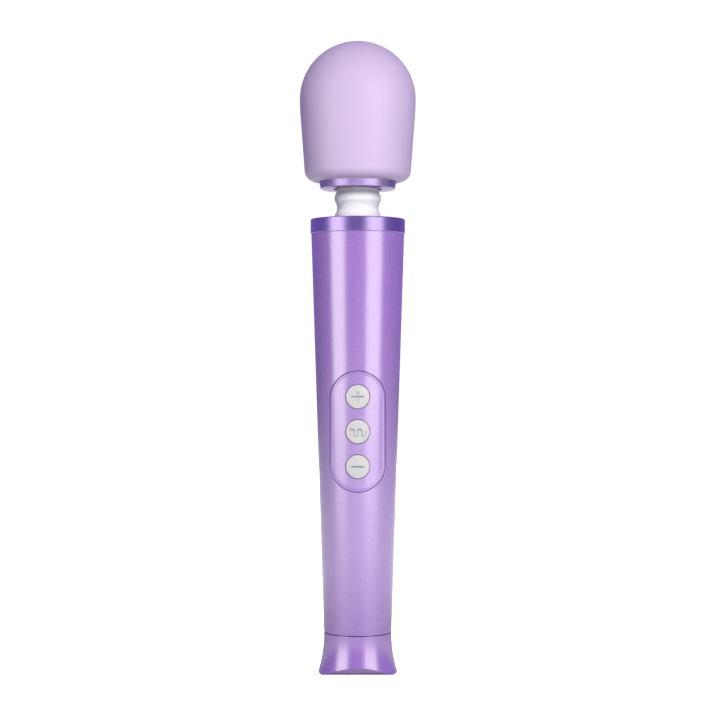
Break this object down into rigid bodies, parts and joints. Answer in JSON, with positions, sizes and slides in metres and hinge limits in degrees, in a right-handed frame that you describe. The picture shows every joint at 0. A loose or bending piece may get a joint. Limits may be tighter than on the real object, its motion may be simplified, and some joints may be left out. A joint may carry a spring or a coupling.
{
  "type": "handheld wand massager",
  "caption": "Cordless wand massager with a domed silicone head on a flexible neck, a slim tapered handle, a push-button panel and a flared foot.",
  "frame": {"origin": "middle of the foot's lowest line", "axes": "+Z along the handle to the head, the control panel faces -Y"},
  "size_m": [0.0466, 0.0466, 0.254],
  "materials": {
    "lilac_lacquer": "gloss",
    "lilac_panel": "gloss",
    "purple_anodised": "satin",
    "lavender_silicone": "matte",
    "white_silicone": "satin",
    "white_button": "satin",
    "seal_rubber": "satin",
    "black_plastic": "satin",
    "grey_nylon": "satin",
    "core_plastic": "satin",
    "board_green": "gloss",
    "chip_black": "satin",
    "cell_wrap": "gloss",
    "foam": "matte",
    "zinc_steel": "satin",
    "motor_steel": "satin",
    "spring_steel": "satin",
    "shaft_steel": "polished",
    "lamination_steel": "matte",
    "magnet_ferrite": "matte",
    "copper_wire": "gloss",
    "commutator_copper": "satin",
    "brush_carbon": "matte",
    "bush_bronze": "matte",
    "contact_brass": "polished",
    "bearing_steel": "polished",
    "ball_steel": "polished",
    "cage_brass": "satin",
    "weight_steel": "satin",
    "wire_red": "satin",
    "wire_blue": "satin",
    "wire_yellow": "satin"
  },
  "bodies": {
    "handle": {"base_cap": "lilac_lacquer", "base_seal": "seal_rubber", "charge_socket": "black_plastic", "charge_sleeve": "contact_brass", "charge_contact": "contact_brass", "handle_tube": "lilac_lacquer", "control_panel": "lilac_panel", "tact_switches": "motor_steel", "collar": "purple_anodised", "motor_mount": "core_plastic", "motor_can": "motor_steel", "motor_end_cap": "core_plastic", "motor_bushes": "bush_bronze", "motor_magnets": "magnet_ferrite", "motor_brushes": "brush_carbon", "motor_screws": "zinc_steel", "motor_sleeve": "seal_rubber", "chassis_rear": "grey_nylon", "chassis_front": "grey_nylon", "chassis_screws": "zinc_steel", "board_screws": "zinc_steel", "control_board": "board_green", "board_chips": "chip_black", "battery_cell": "cell_wrap", "battery_pads": "foam", "motor_wires": "wire_red", "battery_wires": "wire_blue", "charge_wires": "wire_yellow"},
    "motor_rotor": {"armature_core": "lamination_steel", "armature_coils": "copper_wire", "commutator": "commutator_copper", "motor_shaft": "shaft_steel", "drive_coupling": "contact_brass", "flex_shaft": "spring_steel"},
    "neck": {"neck_sleeve": "white_silicone", "neck_spring": "spring_steel"},
    "head": {"head_ring": "purple_anodised", "head_cover": "lavender_silicone", "core_cup": "core_plastic", "core_dome": "core_plastic", "neck_hub": "grey_nylon", "hub_screws": "zinc_steel", "lower_bearing_outer": "bearing_steel", "upper_bearing_outer": "bearing_steel"},
    "eccentric": {"eccentric_shaft": "shaft_steel", "eccentric_weight": "weight_steel", "weight_screw": "zinc_steel", "lower_bearing_inner": "bearing_steel", "upper_bearing_inner": "bearing_steel"},
    "bearing_balls": {"lower_bearing_balls": "ball_steel", "upper_bearing_balls": "ball_steel", "lower_bearing_cage": "cage_brass", "upper_bearing_cage": "cage_brass"},
    "plus_key": {"plus_button": "white_button", "plus_plunger": "black_plastic"},
    "pattern_key": {"pattern_button": "white_button", "pattern_plunger": "black_plastic"},
    "minus_key": {"minus_button": "white_button", "minus_plunger": "black_plastic"}
  },
  "joints": [
    {"name": "neck_tilt_fore_aft", "type": "hinge", "parent": "handle", "child": "neck", "pos_m": [0, 0, 0.1832], "axis": [1, 0, 0], "range_deg": [-20, 20], "stiffness_Nm_per_rad": 3, "deforming": ["neck_sleeve", "neck_spring", "flex_shaft"]},
    {"name": "neck_tilt_sideways", "type": "hinge", "parent": "neck", "child": "head", "pos_m": [0, 0, 0.1909], "axis": [0, 1, 0], "range_deg": [-20, 20], "stiffness_Nm_per_rad": 3},
    {"name": "eccentric_spin", "type": "hinge", "parent": "head", "child": "eccentric", "pos_m": [0, 0, 0.222], "axis": [0, 0, 1], "continuous": true},
    {"name": "bearing_balls_spin", "type": "hinge", "parent": "head", "child": "bearing_balls", "pos_m": [0, 0, 0.222], "axis": [0, 0, 1], "continuous": true},
    {"name": "motor_spin", "type": "hinge", "parent": "handle", "child": "motor_rotor", "pos_m": [0, 0, 0.15], "axis": [0, 0, 1], "continuous": true},
    {"name": "plus_press", "type": "slide", "parent": "handle", "child": "plus_key", "axis": [0, 1, 0], "range_m": [0, 0.0005], "stiffness_N_per_m": 1200, "springref_m": -0.0006},
    {"name": "pattern_press", "type": "slide", "parent": "handle", "child": "pattern_key", "axis": [0, 1, 0], "range_m": [0, 0.0005], "stiffness_N_per_m": 1200, "springref_m": -0.0006},
    {"name": "minus_press", "type": "slide", "parent": "handle", "child": "minus_key", "axis": [0, 1, 0], "range_m": [0, 0.0005], "stiffness_N_per_m": 1200, "springref_m": -0.0006}
  ],
  "couplings": [
    {"joint": "motor_spin", "follows": "eccentric_spin", "ratio": 1},
    {"joint": "bearing_balls_spin", "follows": "eccentric_spin", "ratio": 0.3989}
  ]
}
